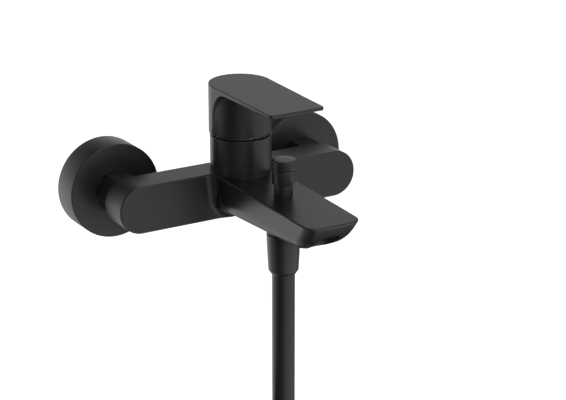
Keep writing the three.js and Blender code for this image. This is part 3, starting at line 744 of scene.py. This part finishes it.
# ---------------------------------------------------------------- hose
# Heights of the hose's centreline where it hangs straight: down to the coil, and below it.
RUN = [-40, -52, -66, -82, -98, -114, -130, -146, -162, -178, -194, -210, -228, -246]
TAIL = [-246, -268, -290, -312, -334, -356, -378, -400, -420, -440, -458.3]


def hose_route():
    """Centreline: straight down from the nut, twice round the coil, then straight down again."""
    drift = COIL["turns"] * COIL["pitch"]
    route = [(0, DIVERTER_Y, z) for z in RUN]
    for k in range(1, COIL["turns"] * COIL["points"]):
        turn = k / COIL["points"]
        angle = 2 * math.pi * turn
        x = -COIL["radius"] * (1 - math.cos(angle))
        route.append((x, DIVERTER_Y + COIL["pitch"] * turn, COIL["z"] - COIL["radius"] * math.sin(angle)))
    return route + [(0, DIVERTER_Y + drift, z) for z in TAIL]


def smooth_line(points, spacing):
    """A Catmull-Rom curve through the points, in even steps."""
    points = np.array(points, float)
    padded = np.vstack([2 * points[0] - points[1], points, 2 * points[-1] - points[-2]])
    fine = []
    for p0, p1, p2, p3 in zip(padded, padded[1:], padded[2:], padded[3:]):
        length = np.linalg.norm(p2 - p1)
        before = (p2 - p0) * length / (np.linalg.norm(p1 - p0) + length)
        after = (p3 - p1) * length / (np.linalg.norm(p3 - p2) + length)
        for t in np.arange(0, 1, 0.125):
            fine.append(
                (2 * t**3 - 3 * t**2 + 1) * p1 + (t**3 - 2 * t**2 + t) * before
                + (3 * t**2 - 2 * t**3) * p2 + (t**3 - t**2) * after
            )
    fine.append(points[-1])
    fine = np.array(fine)
    along = np.concatenate([[0], np.cumsum(np.linalg.norm(np.diff(fine, axis=0), axis=1))])
    at = np.linspace(0, along[-1], int(along[-1] / spacing) + 1)
    return np.stack([np.interp(at, along, fine[:, k]) for k in range(3)], 1)


def tube_along(line, radius, segments):
    """A round tube with flat ends that follows the line without twisting."""
    tangents = np.gradient(line, axis=0)
    tangents /= np.linalg.norm(tangents, axis=1, keepdims=True)
    side = np.array([0.0, 1.0, 0.0])
    vertices = []
    for point, tangent in zip(line, tangents):
        side = side - (side @ tangent) * tangent
        side /= np.linalg.norm(side)
        across = np.cross(tangent, side)
        for k in range(segments):
            angle = 2 * math.pi * k / segments
            vertices.append(point + radius * (math.cos(angle) * side + math.sin(angle) * across))
    faces = []
    for i in range(len(line) - 1):
        here, there = i * segments, (i + 1) * segments
        for k in range(segments):
            n = (k + 1) % segments
            faces.append((here + k, here + n, there + n, there + k))
    faces.append(list(range(segments))[::-1])
    faces.append([(len(line) - 1) * segments + k for k in range(segments)])
    return np.array(vertices), faces


def make_hose_fittings():
    top = upright(DIVERTER_Y)
    end = upright(DIVERTER_Y + COIL["turns"] * COIL["pitch"], TAIL[-1])
    nut = [
        (9.3, -13, 0.3), (11.5, -13, 0.3), (11.4, -18, 6), (10.3, -39, 0.7), (8.7, -41.4, 0.4),
        (8.0, -41.4, 0.2), (8.0, -32.3), (9.3, -32.3),
    ]
    end_nut = [
        (8.0, 2.2, 0.2), (8.7, 2.2, 0.5), (10.2, -1.8, 0.7), (11.2, -21.6, 6), (11.3, -26.6, 0.5),
        (9.3, -26.6, 0.3), (9.3, -7.7), (8.0, -7.7),
    ]
    washer = [(4.6, -10.5, 0.3), (9, -10.5, 0.3), (9, -12.7, 0.3), (4.6, -12.7, 0.3)]
    nipple = [(5.4, -27, 0.3), (9, -27, 0.5), (9, -7), (5.4, -7)]
    return [
        lathe("hose_nut", nut, "matt_black", top),
        lathe("shower_nipple", nipple, "matt_black", top),
        lathe("hose_end_nut", end_nut, "matt_black", end),
        lathe("hose_end_washer", washer, "rubber", end),
    ]


def tie_distance(x, y, z):
    """A strap round both turns where they run upright, with its buckle outside."""
    cx = x + 2 * COIL["radius"]
    cy = y - DIVERTER_Y - COIL["turns"] * COIL["pitch"] / 2
    run = COIL["pitch"] * 0.5 + 2.5
    loop = np.hypot(np.maximum(np.abs(cy) - run, 0), cx) - HOSE_RADIUS - STRAP["clearance"]
    band = both(np.abs(loop) - STRAP["half_thickness"], np.abs(z - COIL["z"]) - STRAP["half_width"], 0.5)
    clasp = both(np.abs(cx + HOSE_RADIUS + 1.4) - 1.1, np.abs(cy) - 5, 0.6)
    return either(band, both(clasp, np.abs(z - COIL["z"]) - 5.9, 0.6), 0.4)


def make_tie():
    centre_y = DIVERTER_Y + COIL["turns"] * COIL["pitch"] / 2
    low = (-2 * COIL["radius"] - 12, centre_y - 24, COIL["z"] - 6)
    high = (-2 * COIL["radius"] + 11, centre_y + 24, COIL["z"] + 6)
    vertices, faces, normals = skin(tie_distance, low, high, 0.45)
    return add_piece("coil_tie_fine", vertices, faces, "rubber", "faucet", ["coil_tie"], normals)


def make_hose():
    line = smooth_line(hose_route(), 3.2)
    vertices, faces = tube_along(line, HOSE_RADIUS, 40)
    replaced = ["hose_run", "hose_coil", "hose_tail"]
    hose = add_piece("shower_hose", vertices, faces, "hose_black", "faucet", replaced)
    fittings = make_hose_fittings() + [make_tie()]
    fittings += [frame["nodes"][n] for n in ("hose_washer", "hose_ferrule", "hose_end_ferrule")]


# ---------------------------------------------------------------- assembly
def dress_cad_nodes():
    """The CAD's own pieces that stay visible get the finish of their slot."""
    slots = {row["node"]: row["material_slot"] for row in frame["record"]["subparts"]}
    for name, node in frame["nodes"].items():
        node.data.materials.clear()
        node.data.materials.append(FINISHES[slots[name]])


BODY_STEP = 0.8
HANDLE_STEP = 0.6

bpy.context.scene.view_settings.view_transform = "Standard"
make_camera()
make_world()
make_floor()
FINISHES = make_finishes()
dress_cad_nodes()
make_hose()
make_body()
make_handle()
make_inlets()
make_diverter()
make_outlet()
make_cartridge()
